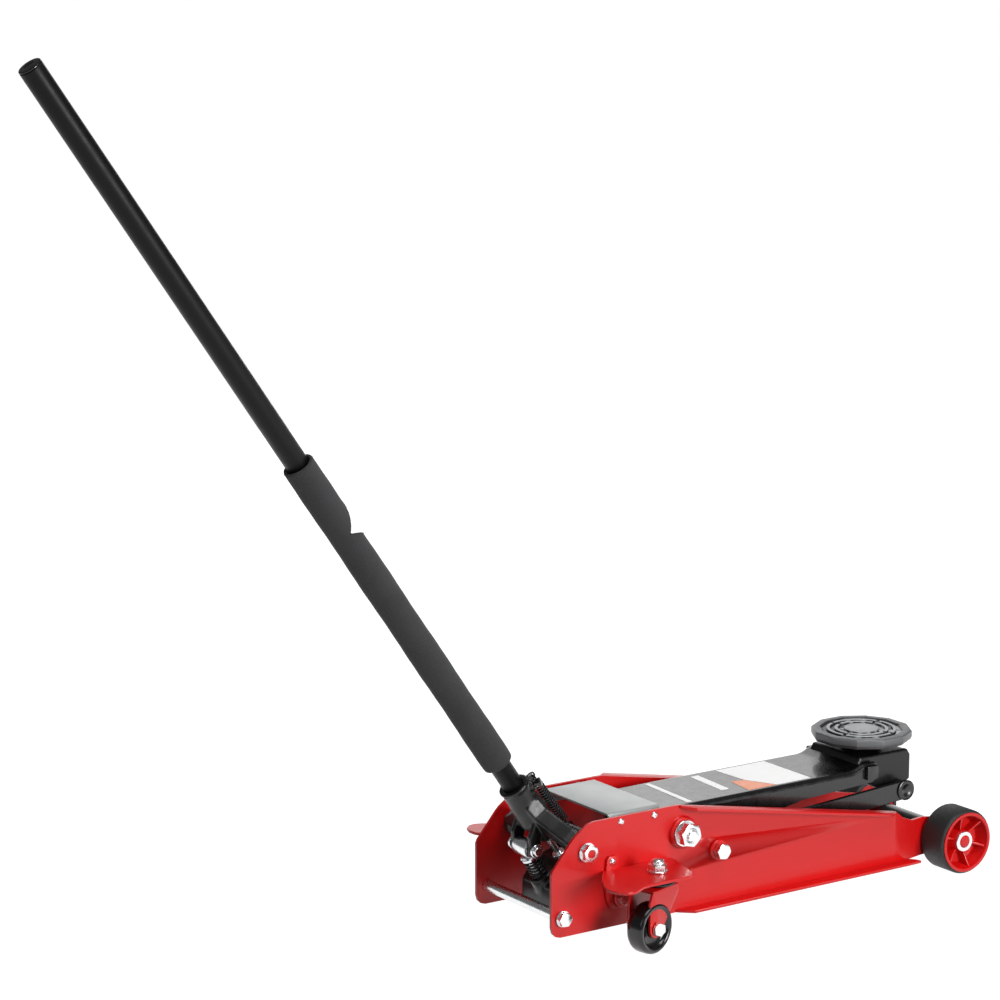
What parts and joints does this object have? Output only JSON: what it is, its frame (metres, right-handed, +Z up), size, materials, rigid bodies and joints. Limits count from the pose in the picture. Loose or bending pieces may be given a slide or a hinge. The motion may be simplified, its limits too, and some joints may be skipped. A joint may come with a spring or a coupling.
{
  "type": "hydraulic floor jack",
  "caption": "Wheeled trolley jack: a pumped handle drives a ram that raises a hinged arm and its level swivelling saddle; turning the handle releases it.",
  "frame": {"origin": "centre of the bounding box footprint, on the floor", "axes": "+X from the handle towards the saddle and front wheels, +Y to the left seen from the handle, +Z up"},
  "size_m": [1.381, 0.36, 1.1492],
  "materials": {
    "red_enamel": "gloss enamel",
    "black_enamel": "gloss enamel",
    "black_iron": "black painted casting",
    "zinc_plate": "bright zinc plate",
    "grey_enamel": "satin silver-grey enamel",
    "tube_black": "satin powder coat",
    "foam": "matte closed-cell foam",
    "tyre_rubber": "moulded, matte",
    "caster_nylon": "moulded, semi-gloss",
    "end_cap": "moulded",
    "ram_chrome": "hard chrome",
    "spring_steel": "black oiled wire"
  },
  "bodies": {
    "frame": {"side_plate_left": "red_enamel", "side_plate_right": "red_enamel", "top_cover": "grey_enamel", "rear_tie_rod": "zinc_plate", "rear_tie_bolt_left": "zinc_plate", "rear_tie_bolt_right": "zinc_plate", "front_axle": "red_enamel", "axle_spacer": "black_enamel", "axle_ring_left": "zinc_plate", "axle_ring_right": "zinc_plate", "main_pivot_shaft": "zinc_plate", "main_pivot_nut_left": "zinc_plate", "main_pivot_nut_right": "zinc_plate", "radius_rod_bolt_left": "zinc_plate", "radius_rod_bolt_right": "zinc_plate", "yoke_bolt_left": "zinc_plate", "yoke_bolt_right": "zinc_plate", "power_unit_bolt_left": "zinc_plate", "power_unit_bolt_right": "zinc_plate", "spring_anchor_rod": "zinc_plate", "pump_block": "black_iron", "reservoir": "red_enamel", "filler_plug": "zinc_plate", "plunger_spring": "spring_steel", "caster_mount_left": "red_enamel", "caster_mount_right": "red_enamel", "kingpin_left": "zinc_plate", "kingpin_right": "zinc_plate"},
    "yoke": {"handle_yoke": "black_iron", "clamp_screw": "black_enamel", "roller_pin": "zinc_plate", "handle_spring": "spring_steel"},
    "roller": {"pump_roller": "zinc_plate"},
    "handle": {"lower_tube": "tube_black", "upper_tube": "tube_black", "foam_sleeve": "foam", "handle_cap": "end_cap"},
    "valve": {"release_stem": "zinc_plate"},
    "plunger": {"pump_plunger": "ram_chrome"},
    "ram": {"ram": "ram_chrome"},
    "arm": {"lift_arm": "black_enamel", "lever_pin": "zinc_plate", "bracket_pin": "black_enamel"},
    "bracket": {"saddle_bracket": "black_iron", "rod_front_pin": "black_enamel"},
    "saddle": {"saddle": "black_iron"},
    "rod_left": {"radius_rod_left": "black_enamel"},
    "rod_right": {"radius_rod_right": "black_enamel"},
    "caster_left": {"caster_fork_left": "red_enamel", "caster_bearing_left": "black_iron", "caster_bolt_left": "zinc_plate"},
    "caster_right": {"caster_fork_right": "red_enamel", "caster_bearing_right": "black_iron", "caster_bolt_right": "zinc_plate"},
    "caster_wheel_left": {"caster_wheel_left": "caster_nylon"},
    "caster_wheel_right": {"caster_wheel_right": "caster_nylon"},
    "front_wheel_left": {"front_hub_left": "red_enamel", "front_tyre_left": "tyre_rubber"},
    "front_wheel_right": {"front_hub_right": "red_enamel", "front_tyre_right": "tyre_rubber"}
  },
  "joints": [
    {"name": "handle_pump", "type": "hinge", "parent": "frame", "child": "yoke", "pos_m": [0.02987, 0, 0.129], "axis": [0, -1, 0], "range_deg": [0, 40], "stiffness_Nm_per_rad": 10, "springref_deg": -63.03, "deforming": ["handle_spring"]},
    {"name": "pump_roller_spin", "type": "hinge", "parent": "yoke", "child": "roller", "pos_m": [-0.00409, 0, 0.12053], "axis": [0, 1, 0], "continuous": true},
    {"name": "handle_twist", "type": "hinge", "parent": "yoke", "child": "handle", "pos_m": [0.02987, 0, 0.129], "axis": [-0.5736, 0, 0.8192], "range_deg": [0, 180]},
    {"name": "release_valve_turn", "type": "hinge", "parent": "frame", "child": "valve", "pos_m": [0.02987, 0, 0.129], "axis": [-0.5736, 0, 0.8192], "range_deg": [0, 180]},
    {"name": "pump_plunger_slide", "type": "slide", "parent": "frame", "child": "plunger", "axis": [0.5, 0, -0.866], "range_m": [0, 0.0242], "deforming": ["plunger_spring"]},
    {"name": "ram_slide", "type": "slide", "parent": "frame", "child": "ram", "axis": [1, 0, 0], "range_m": [-0.0087, 0.0662]},
    {"name": "lift_arm_raise", "type": "hinge", "parent": "frame", "child": "arm", "pos_m": [0.18187, 0, 0.13], "axis": [0, -1, 0], "range_deg": [-8, 62]},
    {"name": "bracket_level", "type": "hinge", "parent": "arm", "child": "bracket", "pos_m": [0.52187, 0, 0.15], "axis": [0, -1, 0], "range_deg": [-62, 8]},
    {"name": "radius_rod_left_swing", "type": "hinge", "parent": "frame", "child": "rod_left", "pos_m": [0.23787, 0.0655, 0.098], "axis": [0, -1, 0], "range_deg": [-8, 62]},
    {"name": "radius_rod_right_swing", "type": "hinge", "parent": "frame", "child": "rod_right", "pos_m": [0.23787, -0.0655, 0.098], "axis": [0, -1, 0], "range_deg": [-8, 62]},
    {"name": "saddle_swivel", "type": "hinge", "parent": "bracket", "child": "saddle", "pos_m": [0.55587, 0, 0.16], "axis": [0, 0, 1], "continuous": true},
    {"name": "caster_swivel_left", "type": "hinge", "parent": "frame", "child": "caster_left", "pos_m": [0.11087, 0.129, 0.09], "axis": [0, 0, -1], "range_deg": [-18, 168]},
    {"name": "caster_roll_left", "type": "hinge", "parent": "caster_left", "child": "caster_wheel_left", "pos_m": [0.08576, 0.13573, 0.0345], "axis": [0.2588, 0.9659, 0], "continuous": true},
    {"name": "front_wheel_roll_left", "type": "hinge", "parent": "frame", "child": "front_wheel_left", "pos_m": [0.64587, 0.098, 0.045], "axis": [0, 1, 0], "continuous": true},
    {"name": "caster_swivel_right", "type": "hinge", "parent": "frame", "child": "caster_right", "pos_m": [0.11087, -0.129, 0.09], "axis": [0, 0, 1], "range_deg": [-18, 168]},
    {"name": "caster_roll_right", "type": "hinge", "parent": "caster_right", "child": "caster_wheel_right", "pos_m": [0.08576, -0.13573, 0.0345], "axis": [-0.2588, 0.9659, 0], "continuous": true},
    {"name": "front_wheel_roll_right", "type": "hinge", "parent": "frame", "child": "front_wheel_right", "pos_m": [0.64587, -0.098, 0.045], "axis": [0, 1, 0], "continuous": true}
  ],
  "couplings": [
    {"joint": "pump_plunger_slide", "follows": "handle_pump", "m_per_rad": 0.03421},
    {"joint": "release_valve_turn", "follows": "handle_twist", "ratio": 1},
    {"joint": "ram_slide", "follows": "lift_arm_raise", "m_per_rad": 0.0607},
    {"joint": "bracket_level", "follows": "lift_arm_raise", "ratio": -1},
    {"joint": "radius_rod_left_swing", "follows": "lift_arm_raise", "ratio": 1},
    {"joint": "radius_rod_right_swing", "follows": "lift_arm_raise", "ratio": 1}
  ]
}
